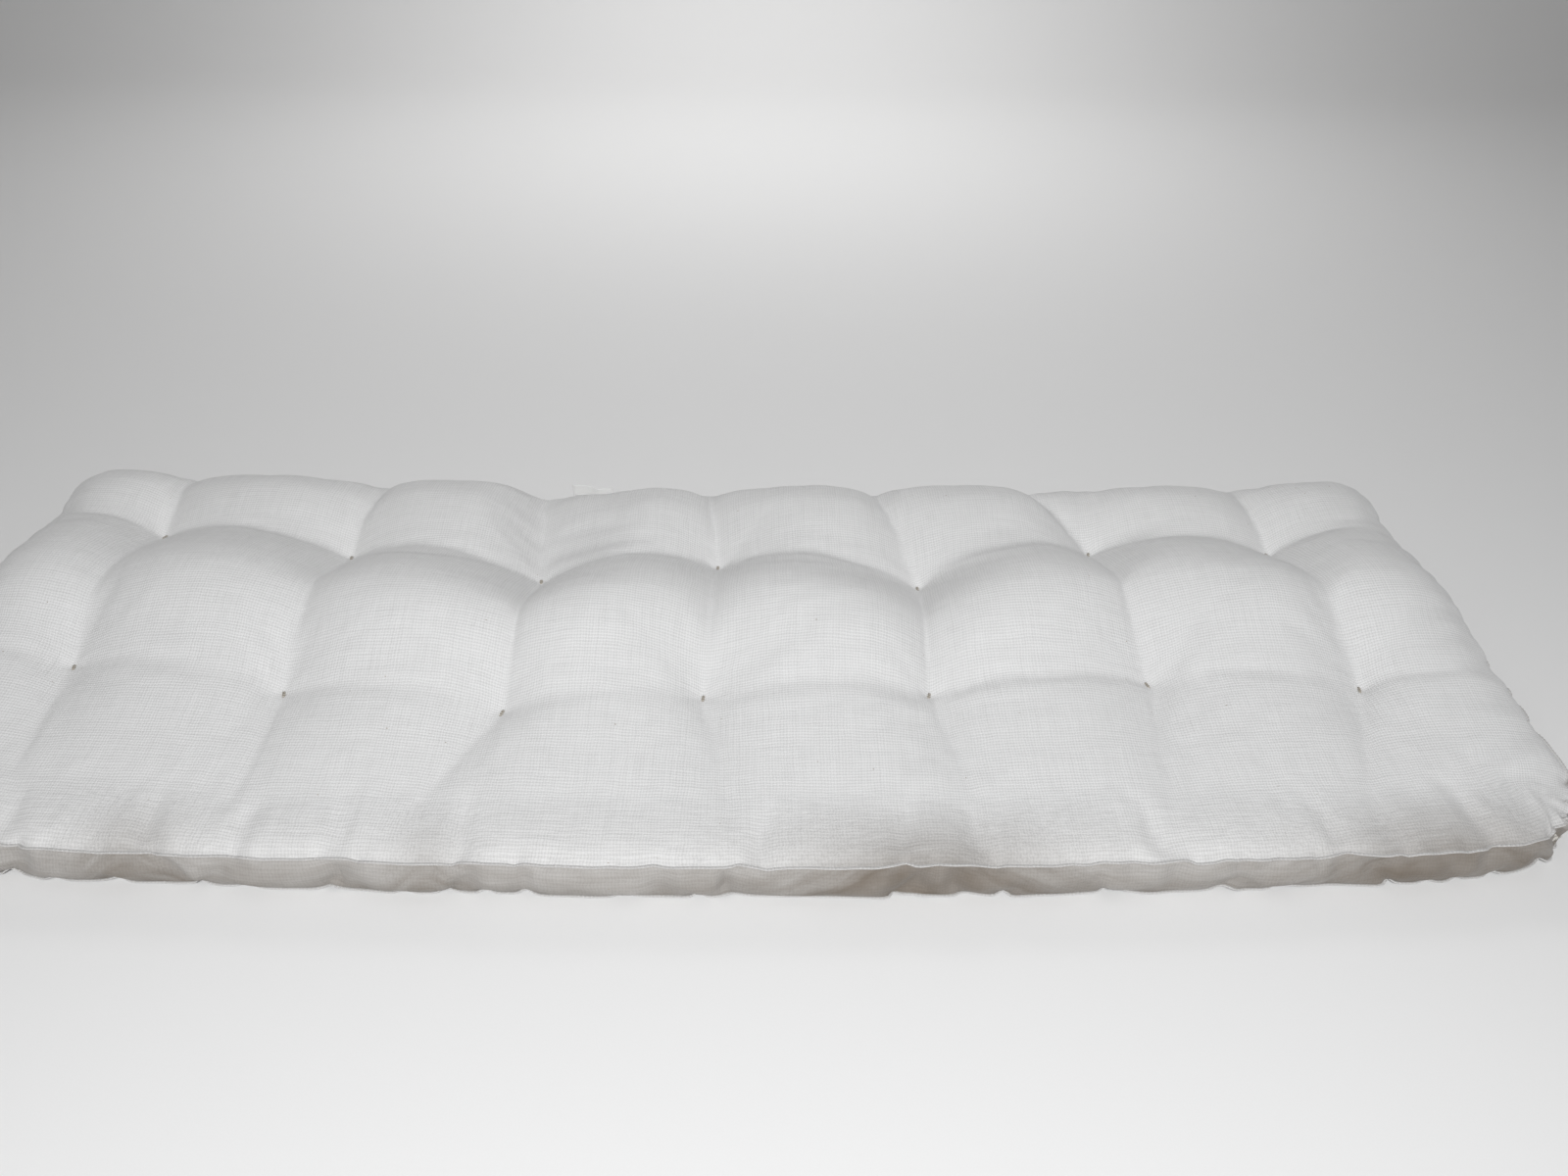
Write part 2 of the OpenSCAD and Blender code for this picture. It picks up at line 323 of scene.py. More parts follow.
def tape_cloth():
    """Smooth white label tape with a fine rib."""
    n = Nodes("label_tape")
    x, _, z = n.split(n.place())
    rib = n.math("SINE", n.math("MULTIPLY", x, TURN / 0.0011))
    weft = n.math("SINE", n.math("MULTIPLY", z, TURN / 0.0009))
    relief = n.math("MULTIPLY", rib, weft)
    # Darker where the rib's relief is low: painted shade in the fine rib
    colour = n.mix(n.fade(relief, -1.0, 1.0), (0.84, 0.84, 0.83, 1.0), (0.95, 0.95, 0.94, 1.0))
    return n.finish(colour, 0.55, n.bump(relief, 0.0001, 0.5), sheen=0.05, specular=0.3)


def loose_cotton(name, light, dark):
    """Carded batting: soft matted fibres."""
    n = Nodes(name)
    at = n.place()
    fibres = n.noise(n.stretched(at, (1.0, 3.0, 2.0)), 160.0, 6.0, 0.7)
    tufts = n.noise(at, 24.0, 4.0)
    relief = n.math("ADD", fibres, tufts)
    colour = n.mix(n.fade(relief, 0.7, 1.3), dark, light)
    return n.finish(colour, 0.97, n.bump(relief, 0.004, 0.8), sheen=0.3, specular=0.1)


def open_foam():
    """Pale yellow foam with open cells."""
    n = Nodes("foam")
    at = n.place()
    pores = n.cells(at, 420.0)
    depth = n.fade(pores, 0.05, 0.45)
    # Darker down in the open cells: painted shade in the pores
    colour = n.mix(depth, (0.78, 0.66, 0.34, 1.0), (0.90, 0.82, 0.52, 1.0))
    return n.finish(colour, 0.9, n.bump(depth, 0.0008, 0.8), specular=0.2)


def paper():
    """Matt studio paper with a faint tooth."""
    n = Nodes("studio_paper")
    tooth = n.noise(n.place(), 600.0, 2.0)
    colour = n.mix(tooth, grey(0.82, 0.002), grey(0.85, 0.002))
    return n.finish(colour, 0.95, n.bump(tooth, 0.0002, 0.2), specular=0.1)


# ---------------------------------------------------------------- mesh helpers


def new_piece(name, verts, faces, material, flat=None):
    """A mesh object with smooth shading. flat holds the cloth coordinates of each vertex."""
    mesh = bpy.data.meshes.new(name)
    mesh.from_pydata(np.asarray(verts, float).tolist(), [], [tuple(int(i) for i in f) for f in faces])
    mesh.update()
    mesh.polygons.foreach_set("use_smooth", [True] * len(mesh.polygons))
    mesh.materials.append(material)
    if flat is not None:
        layer = mesh.attributes.new("cloth_flat", "FLOAT_VECTOR", "POINT")
        layer.data.foreach_set("vector", np.asarray(flat, np.float32).ravel())
    piece = bpy.data.objects.new(name, mesh)
    bpy.context.scene.collection.objects.link(piece)
    return piece


def apply_modifiers(piece):
    """Leaves the piece with the mesh that its modifiers make."""
    graph = bpy.context.evaluated_depsgraph_get()
    final = bpy.data.meshes.new_from_object(piece.evaluated_get(graph), depsgraph=graph)
    piece.modifiers.clear()
    piece.data = final


def subdivide(piece):
    piece.modifiers.new("smooth", "SUBSURF").levels = 1
    apply_modifiers(piece)


def coordinates(mesh):
    co = np.empty(len(mesh.vertices) * 3)
    mesh.vertices.foreach_get("co", co)
    return co.reshape(-1, 3)


def tube(path, radius, sides=8, closed=False, squeeze=1.0, up=(0.0, 0.0, 1.0)):
    """Vertices, faces and thread coordinates of a tube along a path.
    squeeze is its height as a share of its width."""
    path = np.asarray(path, float)
    if closed:
        ahead, behind = np.roll(path, -1, axis=0), np.roll(path, 1, axis=0)
    else:
        ahead, behind = np.vstack([path[1:], path[-1:]]), np.vstack([path[:1], path[:-1]])
    along = ahead - behind
    along /= np.linalg.norm(along, axis=1)[:, None]
    side = np.cross(along, np.asarray(up, float))
    side /= np.maximum(np.linalg.norm(side, axis=1), 1e-9)[:, None]
    lift = np.cross(side, along)
    radius = np.broadcast_to(radius, len(path))
    run = np.concatenate([[0.0], np.cumsum(np.linalg.norm(np.diff(path, axis=0), axis=1))])
    verts, flat = [], []
    for k in range(sides):
        a = 2 * math.pi * k / sides
        verts.append(path + side * (radius * math.cos(a))[:, None]
                     + lift * (radius * squeeze * math.sin(a))[:, None])
        flat.append(np.stack([np.full(len(path), k / sides), run, run * 0], axis=1))
    verts = np.stack(verts, axis=1).reshape(-1, 3)
    flat = np.stack(flat, axis=1).reshape(-1, 3)
    faces = []
    last = len(path) if closed else len(path) - 1
    for i in range(last):
        j = (i + 1) % len(path)
        for k in range(sides):
            m = (k + 1) % sides
            faces.append((i * sides + k, i * sides + m, j * sides + m, j * sides + k))
    if not closed:
        faces.append(tuple(range(sides))[::-1])
        faces.append(tuple(range((len(path) - 1) * sides, len(path) * sides)))
    return verts, faces, flat


def joined(parts):
    """Several (vertices, faces, coordinates) as one."""
    verts, faces, flat, base = [], [], [], 0
    for part_verts, part_faces, part_flat in parts:
        verts.append(part_verts)
        flat.append(part_flat)
        faces += [tuple(i + base for i in f) for f in part_faces]
        base += len(part_verts)
    return np.vstack(verts), faces, np.vstack(flat)


# ---------------------------------------------------------------- the casing, laid out flat

STEP = 0.0115  # the cloth's mesh
FULLNESS_L = 0.09  # the flat panels are this much longer than the finished mattress
# Across, each band is this much wider than it finishes: front edge, between the rows, back
BANDS = ((-0.134, 0.05), (0.134, 0.11), (BODY_W / 2, 0.08))  # (where the band ends, fullness)
EASE = 0.02  # the share of a panel's edge that is gathered where it is sewn to the border
FULLNESS = 0.008  # the cloth is this much longer than the form it covers, every way
BOXING_H = 0.046  # the height of the flat border
BOXING_ROWS = 4
FOOT_Z = 0.010  # the lower seam, under the weight of the filling
BOW_ENDS = 0.021  # the mattress lies in a slight bow: its ends are this far back
BOW_MIDDLE = -0.018
PUCKER_W = 0.014
PUCKER_DIP = 0.006  # the seam is drawn in this far at a pucker
PUCKER_TAKE = 0.8  # the puckers take up this share of the cloth that is too long for the edge
TIGHTEST = 0.12  # no stretch of cloth is gathered to less than this share of its length
PLEAT_W = 0.010
TUFT_PITCH = 0.2447
FRONT_PUCKERS = (-2.9, -2.3, -1.95, -1.5, -1.0, 0.2, 0.8, 1.15, 1.9, 2.65, 3.3)  # in tuft pitches
BACK_PUCKERS, END_PUCKERS = 11, 4  # how many are scattered along the other edges
TUFT_REACH = 0.007  # a tuft holds the cloth this far out from its twine
# How strongly each part of the cloth is drawn to its place
GUIDE, SEAM_HOLD, BORDER_HOLD, TUFT_HOLD = 0.30, 0.5, 0.1, 1.0
SEED = 3

# The form that the batting gives the top: its height along the middles of the cells and along
# the creases between them, from the front edge (0) by the rows of tufts (1, 2) to the back (3)
ROW_PLACES = (0.0, 0.35, 0.65,
              1.0, 1.1, 1.2, 1.3, 1.4, 1.5, 1.6, 1.75, 1.9,
              2.0, 2.15, 2.3, 2.5, 2.75, 3.0)
CROWN_HEIGHTS = (0.060, 0.061, 0.071,
                 0.087, 0.097, 0.108, 0.121, 0.132, 0.1385, 0.136, 0.124, 0.110,
                 0.101, 0.103, 0.112, 0.124, 0.127, 0.120)
CREASE_HEIGHTS = (0.058, 0.058, 0.060,
                  0.060, 0.070, 0.082, 0.094, 0.102, 0.104, 0.100, 0.086, 0.070,
                  0.060, 0.068, 0.079, 0.090, 0.093, 0.088)
# How much of the spare length lies in pleats along the creases, at the same places
PLEAT_SHARES = (0.0, 0.3, 0.6,
                0.9, 0.8, 0.7, 0.5, 0.4, 0.4, 0.5, 0.7, 0.85,
                0.9, 0.8, 0.6, 0.4, 0.3, 0.0)
CREASE_SHARPNESS = 2.5
FRONT_ROLL, BACK_ROLL, END_ROLL = 0.045, 0.06, 0.07  # how far in the edges are rounded off

# How far along the creases lean on their way from the tufts to the edges
FRONT_LEAN = (0.03, 0.0, -0.09, 0.05, 0.05, -0.03, -0.08)
BACK_LEAN = (0.0, 0.012, -0.030, -0.020, -0.055, -0.095, -0.012)
FOLD_L = 0.085  # a fold runs this far up the panel from each pucker in the front edge
FOLD_W = 0.009
FOLD_DEPTH = 0.011
FOLD_SLANT, FOLD_TURN = 0.015, 9  # each fold leans to one side, up to this far, in its own way
# The batting is thin in front of the label
LOW_R, LOW_DEPTH = 0.085, 0.034
LOW_ASIDE, LOW_IN = 0.02, 0.07  # its middle is this far left of the label's, and in from the edge
LOW_ACROSS = 0.8  # it runs further across than along, by one over this


def rounded(distance, roll):
    """A quarter round: 0 at the edge, 1 where the top has come up to its full height."""
    return np.sqrt(1 - (1 - np.clip(distance / roll, 0, 1)) ** 2)


# How round each corner is in plan: (side along, side across, radius)
CORNERS = ((-1, -1, 0.08), (1, -1, 0.14), (1, 1, 0.07), (-1, 1, 0.07))


def round_corners(places):
    """Draws the four corners of the plan in to quarter circles."""
    for side_x, side_y, radius in CORNERS:
        sides = np.array([side_x, side_y])
        start = np.array([BODY_L, BODY_W]) / 2 - radius
        out = places[:, :2] * sides - start
        near = (out > 0).all(axis=1)
        reach = out[near]
        reach *= (reach.max(axis=1) / np.linalg.norm(reach, axis=1))[:, None]
        places[near, :2] = (start + reach) * sides


def bow(x):
    """How far back the mattress lies here, as it is slightly bent."""
    return BOW_MIDDLE + (BOW_ENDS - BOW_MIDDLE) * (x / (BODY_L / 2)) ** 2


class FlatCasing:
    """The casing laid out flat, before it is stuffed: two panels and a border round them."""

    def __init__(self):
        self.cut_l = BODY_L * (1 + FULLNESS_L)
        knots = np.array([-BODY_W / 2] + [end for end, _ in BANDS])
        widths = np.diff(knots) * (1 + np.array([fullness for _, fullness in BANDS]))
        self.cut_w = widths.sum()
        self.finished_knots = knots
        self.cut_knots = np.concatenate([[0.0], np.cumsum(widths)]) - self.cut_w / 2
        self.nx, self.ny = round(self.cut_l / STEP), round(self.cut_w / STEP)
        self.xs = np.linspace(-self.cut_l / 2, self.cut_l / 2, self.nx + 1)
        self.ys = np.linspace(-self.cut_w / 2, self.cut_w / 2, self.ny + 1)
        gx, gy = np.meshgrid(self.xs, self.ys, indexing="ij")
        size = (self.nx + 1) * (self.ny + 1)
        self.top = np.arange(size).reshape(gx.shape)
        self.bottom = self.top + size
        self.ring = ([(i, 0) for i in range(self.nx)]
                     + [(self.nx, j) for j in range(self.ny)]
                     + [(i, self.ny) for i in range(self.nx, 0, -1)]
                     + [(0, j) for j in range(self.ny, 0, -1)])
        ri, rj = np.array(self.ring).T
        count = len(self.ring)
        rows = [self.top[ri, rj]]
        for k in range(1, BOXING_ROWS):
            rows.append(2 * size + (k - 1) * count + np.arange(count))
        rows.append(self.bottom[ri, rj])
        self.rows = np.array(rows)
        verts = [np.stack([gx.ravel(), gy.ravel(), np.full(size, BOXING_H)], axis=1),
                 np.stack([gx.ravel(), gy.ravel(), np.zeros(size)], axis=1)]
        for k in range(1, BOXING_ROWS):
            height = BOXING_H * (1 - k / BOXING_ROWS)
            verts.append(np.stack([self.xs[ri], self.ys[rj], np.full(count, height)], axis=1))
        self.verts = np.vstack(verts)
        self.top_faces = self.quads(self.top)
        self.bottom_faces = self.quads(self.bottom)[:, ::-1]
        ahead = np.roll(self.rows, -1, axis=1)
        self.border_faces = np.stack(
            [self.rows[:-1], self.rows[1:], ahead[1:], ahead[:-1]], axis=2).reshape(-1, 4)

    @staticmethod
    def quads(grid):
        return np.stack([grid[:-1, :-1], grid[1:, :-1], grid[1:, 1:], grid[:-1, 1:]], axis=2).reshape(-1, 4)

    @staticmethod
    def edge_x(grid_x):
        """The same place along the edge of a panel, counted in the cloth that is gathered there."""
        return grid_x / (1 + FULLNESS_L) * (1 + EASE)

    def edge_y(self, grid_y):
        return self.finished_y(grid_y) * (1 + EASE)

    def finished_y(self, cut):
        return np.interp(cut, self.cut_knots, self.finished_knots)

    def cut_y(self, finished):
        return np.interp(finished, self.finished_knots, self.cut_knots)

    @staticmethod
    def gather(cut, finished, puckers, width=PUCKER_W):
        """Two functions of the place along a length of cloth: the finished place, and how deep
        in a pucker it is."""
        s = np.linspace(-cut / 2, cut / 2, 4001)
        step = s[1] - s[0]
        pinch = sum(np.exp(-0.5 * ((s - p * cut / finished) / width) ** 2) for p in puckers)
        share = pinch * (cut - finished) * PUCKER_TAKE / (pinch.sum() * step)
        rate = np.clip(1 - share, TIGHTEST, None)
        run = np.concatenate([[0.0], np.cumsum((rate[1:] + rate[:-1]) / 2) * step])
        run = run / run[-1] * finished - finished / 2
        return (lambda at: np.interp(at, s, run)), (lambda at: np.interp(at, s, pinch))

    @staticmethod
    def folded(level, x, y):
        """The heights with the folds above the front puckers drawn down."""
        up_fold = np.clip((y + BODY_W / 2) / FOLD_L, 0, 1)
        for place in FRONT_PUCKERS:
            off = (x - place * TUFT_PITCH - FOLD_SLANT * up_fold * math.sin(place * FOLD_TURN)) / FOLD_W
            level = level - FOLD_DEPTH * (1 - up_fold) * np.exp(-0.5 * off ** 2)
        return level

    @staticmethod
    def thinned(level, x, y, label_x):
        """The heights with the low place in front of the label."""
        off = np.hypot(x - label_x + LOW_ASIDE, LOW_ACROSS * (y - BODY_W / 2 + LOW_IN)) / LOW_R
        return level - LOW_DEPTH * np.exp(-0.5 * off ** 4)

    def quilted(self):
        """The form of the top panel: where each of its vertices comes to, before the bow."""
        tufts = {row: np.array([TUFT_XY[name] - [0, bow(TUFT_XY[name][0])]
                                for name in TIES if row in name])
                 for row in ("front", "back")}
        form = np.zeros((self.nx + 1, self.ny + 1, 3))
        label_x = sum(corner.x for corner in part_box("care_label")) / 2
        ys = self.finished_y(self.ys)
        even_x = self.xs / (1 + FULLNESS_L)
        lines = [np.interp(even_x, tufts[row][:, 0], tufts[row][:, 1]) for row in ("front", "back")]
        for j, y in enumerate(ys):
            creases = [np.interp(y, (-BODY_W / 2, near[1], far[1], BODY_W / 2),
                                 (near[0] + front_lean, near[0], far[0], far[0] + back_lean))
                       for near, far, front_lean, back_lean
                       in zip(tufts["front"], tufts["back"], FRONT_LEAN, BACK_LEAN)]
            at_row = np.array([np.interp(y, (-BODY_W / 2, a, b, BODY_W / 2), (0, 1, 2, 3))
                               for a, b in zip(*lines)])
            gathered = self.gather(self.cut_l, BODY_L, creases, PLEAT_W)[0](self.xs)
            share = np.interp(at_row, ROW_PLACES, PLEAT_SHARES)
            x = even_x * (1 - share) + gathered * share
            column = np.interp(x, [-BODY_L / 2, *creases, BODY_L / 2], np.arange(len(creases) + 2))
            crown = np.interp(at_row, ROW_PLACES, CROWN_HEIGHTS)
            crease = np.interp(at_row, ROW_PLACES, CREASE_HEIGHTS)
            swell = 1 - np.abs(2 * (column % 1) - 1) ** CREASE_SHARPNESS
            swell[(column < 0.5) | (column > len(creases) + 0.5)] = 1
            level = crease + (crown - crease) * swell
            edge = rounded(BODY_L / 2 - np.abs(x), END_ROLL)
            edge = edge * rounded(y + BODY_W / 2, FRONT_ROLL) * rounded(BODY_W / 2 - y, BACK_ROLL)
            level = self.thinned(self.folded(level, x, y), x, y, label_x)
            z = SEAM_Z[0] + (level - SEAM_Z[0]) * edge
            form[:, j] = np.stack([x, np.full_like(x, y), z], axis=1)
        return form

    def targets(self):
        """Where each vertex is drawn to, and how strongly."""
        rng = np.random.default_rng(SEED)

        def scattered(count, length):
            even = np.linspace(-length / 2, length / 2, count + 2)[1:-1]
            return even + rng.uniform(-0.25, 0.25, count) * length / (count + 1)

        long_cut, end_cut = BODY_L * (1 + EASE), BODY_W * (1 + EASE)
        edges = {
            "front": self.gather(long_cut, BODY_L, [p * TUFT_PITCH for p in FRONT_PUCKERS]),
            "back": self.gather(long_cut, BODY_L, scattered(BACK_PUCKERS, BODY_L)),
            "left": self.gather(end_cut, BODY_W, scattered(END_PUCKERS, BODY_W)),
            "right": self.gather(end_cut, BODY_W, scattered(END_PUCKERS, BODY_W))}
        goal = self.verts.copy()
        goal[:, 0] /= 1 + FULLNESS_L
        goal[:, 1] = self.finished_y(goal[:, 1])
        weight = np.zeros(len(goal))
        goal[self.top] = self.quilted()
        weight[self.top] = GUIDE
        for n, (i, j) in enumerate(self.ring):
            x, y = self.edge_x(self.xs[i]), self.edge_y(self.ys[j])
            if j == 0:
                place, dip = edges["front"]
                at, pull, inward = (place(x), -BODY_W / 2), dip(x), (0, 1)
            elif j == self.ny:
                place, dip = edges["back"]
                at, pull, inward = (place(x), BODY_W / 2), dip(x), (0, -1)
            elif i == 0:
                place, dip = edges["left"]
                at, pull, inward = (-BODY_L / 2, place(y)), dip(y), (1, 0)
            else:
                place, dip = edges["right"]
                at, pull, inward = (BODY_L / 2, place(y)), dip(y), (-1, 0)
            for k, vertex in enumerate(self.rows[:, n]):
                f = k / BOXING_ROWS
                reach = PUCKER_DIP * pull * (1 - 0.5 * f)
                goal[vertex] = (at[0] + inward[0] * reach, at[1] + inward[1] * reach,
                                SEAM_Z[0] + (FOOT_Z - SEAM_Z[0]) * f)
                weight[vertex] = SEAM_HOLD if k in (0, BOXING_ROWS) else BORDER_HOLD
        round_corners(goal)
        goal[:, 1] += bow(goal[:, 0])
        for x, y in TUFT_XY.values():
            i = np.abs(self.xs - x * (1 + FULLNESS_L)).argmin()
            j = np.abs(self.ys - self.cut_y(y - bow(x))).argmin()
            for grid, z in ((self.top, TUFT_TOP_Z), (self.bottom, TUFT_BOTTOM_Z)):
                for di, dj in ((0, 0), (1, 0), (-1, 0), (0, 1), (0, -1)):
                    goal[grid[i + di, j + dj]] = (x + di * TUFT_REACH, y + dj * TUFT_REACH, z)
                    weight[grid[i + di, j + dj]] = TUFT_HOLD
        return goal, weight


# ---------------------------------------------------------------- stuffing it

FRAMES = 28
HOLD_FRAME = 12  # the tufts and edges are in place by then
PRESSURE = 8.5


def stuff(casing, goal, weight):
    """Blows the casing up over the floor while its tufts and edges are drawn into place."""
    mesh = bpy.data.meshes.new("casing_cloth")
    faces = np.vstack([casing.top_faces, casing.bottom_faces, casing.border_faces])
    mesh.from_pydata(casing.verts.tolist(), [], faces.tolist())
    cloth = bpy.data.objects.new("casing_cloth", mesh)
    scene = bpy.context.scene
    scene.collection.objects.link(cloth)
    cloth.shape_key_add(name="cut")
    drawn = cloth.shape_key_add(name="drawn")
    drawn.data.foreach_set("co", goal.ravel())
    for value, at in ((0.0, 1), (1.0, HOLD_FRAME)):
        drawn.value = value
        drawn.keyframe_insert("value", frame=at)
    held = cloth.vertex_groups.new(name="held")
    for strength in np.unique(weight[weight > 0]):
        held.add(np.flatnonzero(weight == strength).tolist(), float(strength), "REPLACE")

    bpy.ops.mesh.primitive_plane_add(size=4)
    ground = bpy.context.object
    ground.modifiers.new("ground", "COLLISION")
    ground.collision.thickness_outer = 0.002
    ground.collision.cloth_friction = 8

    modifier = cloth.modifiers.new("cloth", "CLOTH")
    settings = modifier.settings
    settings.quality = 6
    settings.mass = 0.3
    settings.tension_stiffness = settings.compression_stiffness = 15.0
    settings.shear_stiffness = 4.5
    settings.bending_stiffness = 0.6
    settings.tension_damping = settings.compression_damping = settings.shear_damping = 5.0
    settings.bending_damping = 0.5
    settings.air_damping = 1.0
    settings.rest_shape_key = cloth.data.shape_keys.key_blocks["drawn"]
    settings.shrink_min = -FULLNESS
    settings.use_pressure = True
    settings.uniform_pressure_force = PRESSURE
    settings.vertex_group_mass = "held"
    settings.pin_stiffness = 1.0
    settings.effector_weights.gravity = 0.0
    modifier.collision_settings.use_collision = True
    modifier.collision_settings.use_self_collision = False
    modifier.collision_settings.distance_min = 0.002
    modifier.collision_settings.collision_quality = 2
    scene.frame_start, scene.frame_end = 1, FRAMES
    modifier.point_cache.frame_end = FRAMES
    for number in range(1, FRAMES + 1):
        scene.frame_set(number)
    graph = bpy.context.evaluated_depsgraph_get()
    shape = coordinates(cloth.evaluated_get(graph).data)
    for thing in (cloth, ground):
        bpy.data.objects.remove(thing)
    scene.frame_set(1)
    return shape


WRINKLES = 0.25  # the share of its small wrinkles that the firm batting leaves in the top
CALM_ROUNDS = 14


def calm(casing, shape, goal):
    """Takes most of the small wrinkles out of the top panel, and keeps its broad bulges."""
    drift = (shape - goal)[casing.top]
    broad = drift.copy()
    for _ in range(CALM_ROUNDS):
        beside = broad[:-2, 1:-1] + broad[2:, 1:-1] + broad[1:-1, :-2] + broad[1:-1, 2:]
        broad[1:-1, 1:-1] = broad[1:-1, 1:-1] / 2 + beside / 8
    shape = shape.copy()
    shape[casing.top] = goal[casing.top] + broad + WRINKLES * (drift - broad)
    return shape


CROWN_TOP = 0.0015  # the highest crown stays this far below the CAD model's
FLOOR_GAP = 0.0006  # the underside lies this far off the floor, the thickness of its nap
FOOT_MIN = 0.0025  # the lower seam's ridge clears the floor at this height
FLATTENED = 0.004  # the weight of the filling presses the underside down by this much


def settle(casing, shape):
    """Sets the stuffed casing down on the floor, with its crowns at the CAD model's height."""
    shape = shape.copy()
    shape[:, 2] -= shape[:, 2].min()
    high = shape[:, 2].max()
    base = SEAM_Z[0]
    above = shape[:, 2] > base
    rise = (CROWN_Z - CROWN_TOP - base) / (high - base)
    shape[above, 2] = base + (shape[above, 2] - base) * rise
    pressed = FLATTENED * np.clip(1 - shape[:, 2] / base, 0, 1)
    shape[:, 2] = np.maximum(shape[:, 2] - pressed, FLOOR_GAP)
    foot = casing.rows[-1]
    shape[foot, 2] = np.maximum(shape[foot, 2], FOOT_MIN)
    return shape


# ---------------------------------------------------------------- pieces of the casing


def part_of(shape, faces, flat):
    """The vertices that some faces use, renumbered, with their cloth coordinates."""
    used, index = np.unique(faces, return_inverse=True)
    return shape[used], index.reshape(faces.shape), flat[used]


def cloth_piece(name, shape, faces, flat, material, nodes):
    verts, part_faces, part_flat = part_of(shape, faces, flat)
    piece = new_piece(name, verts, part_faces, material, part_flat)
    subdivide(piece)
    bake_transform(piece)
    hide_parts(*nodes)
    return piece


# Painted shadow patches on the front edge, where it is painted darkest: (the place along it, how far to each
# side, how much)
PAINTED_SHADOWS = ((0.22, 0.085, 1.0), (0.77, 0.090, 1.0), (-0.58, 0.030, 0.6), (-0.28, 0.020, 0.4))
EDGE_SHADE_REACH = 0.085  # the painted shade reaches this far up the top panel
PANEL_EDGE_SHADE, PANEL_SHADOW_PATCH = 0.14, 0.60  # painted shade at the front edge of the top panel: all along it, and in the shadow patches
# the bottom panel is darkened by this much all over
BOTTOM_DARKENING = 0.35
# Painted shade on the border: all along it, more towards its foot where it tucks under, and more in the
# painted shadow patches
BORDER_SHADE, BORDER_FOOT_SHADE, BORDER_SHADOW_PATCH = 0.62, 0.22, 0.38
OTHER_WEAVE = (0.31, 0.17, 0.0)  # the bottom panel is from another part of the cloth


def painted_shadow_amount(shape):
    """How much each vertex lies in a painted shadow patch on the front edge, from 0 to 1."""
    total = sum(amount * np.exp(-0.5 * ((shape[:, 0] - place) / half) ** 2)
                for place, half, amount in PAINTED_SHADOWS)
    return np.clip(total, 0, 1) * (shape[:, 1] < -BODY_W / 4)


def make_casing(casing, shape):
    """The top panel, the bottom panel and the border. Each has its own cloth coordinates,
    with how much the cloth is darkened, from 0 to 1, as the third: painted shade on the top
    panel's front edge and on the border, an even darkening on the bottom panel."""
    cotton = woven_cotton("casing_cotton_painted_shade", grey(0.81, 0.001), grey(0.58, 0.003), 1.0)
    flat = casing.verts.copy()
    shadow_patch = painted_shadow_amount(shape)
    inward = shape[:, 1] - bow(shape[:, 0]) + BODY_W / 2
    # The top panel is painted darker towards its front seam, where it turns down into shade, and darker
    # still in the painted shadow patches
    edge_shade_falloff = np.clip(1 - inward / EDGE_SHADE_REACH, 0, 1) ** 1.5
    flat[:, 2] = edge_shade_falloff * (PANEL_EDGE_SHADE + PANEL_SHADOW_PATCH * shadow_patch)
    top = cloth_piece("top_panel", shape, casing.top_faces, flat, cotton, both("top_panel"))
    flat = casing.verts + np.array(OTHER_WEAVE)
    flat[:, 2] = BOTTOM_DARKENING
    bottom = cloth_piece("bottom_panel", shape, casing.bottom_faces, flat, cotton, both("bottom_panel"))

    flat = np.zeros_like(casing.verts)
    corner_run = np.concatenate([[0.0], np.cumsum(np.linalg.norm(
        np.diff(casing.verts[casing.rows[0]], axis=0), axis=1))])
    for k, row in enumerate(casing.rows):
        flat[row, 0] = corner_run
        flat[row, 1] = BOXING_H * k / BOXING_ROWS
        # The border's painted shade
        painted_darkening = BORDER_SHADE + BORDER_FOOT_SHADE * k / BOXING_ROWS + BORDER_SHADOW_PATCH * shadow_patch[row]
        flat[row, 2] = np.clip(painted_darkening, 0, 1)
    strips = [name for strip in ("front_border", "back_border", "end_border") for name in both(strip)]
    border = cloth_piece("border", shape, casing.border_faces, flat, cotton, strips)
    return top, bottom, border


SEAM_R = 0.0017
STITCH_PITCH = 0.0044
STITCH_L = 0.0031
STITCH_R = 0.00042


def smooth_ring(points):
    """The ring as one subdivision leaves it on the cloth's edge."""
    ahead, behind = np.roll(points, -1, axis=0), np.roll(points, 1, axis=0)
    out = np.empty((2 * len(points), 3))
    out[0::2] = 0.75 * points + 0.125 * (ahead + behind)
    out[1::2] = 0.5 * (points + ahead)
    return out


def outward_of(ring):
    """Level directions out of the mattress along a ring."""
    along = np.roll(ring, -1, axis=0) - np.roll(ring, 1, axis=0)
    outward = np.stack([along[:, 1], -along[:, 0], np.zeros(len(ring))], axis=1)
    return outward / np.linalg.norm(outward, axis=1)[:, None]


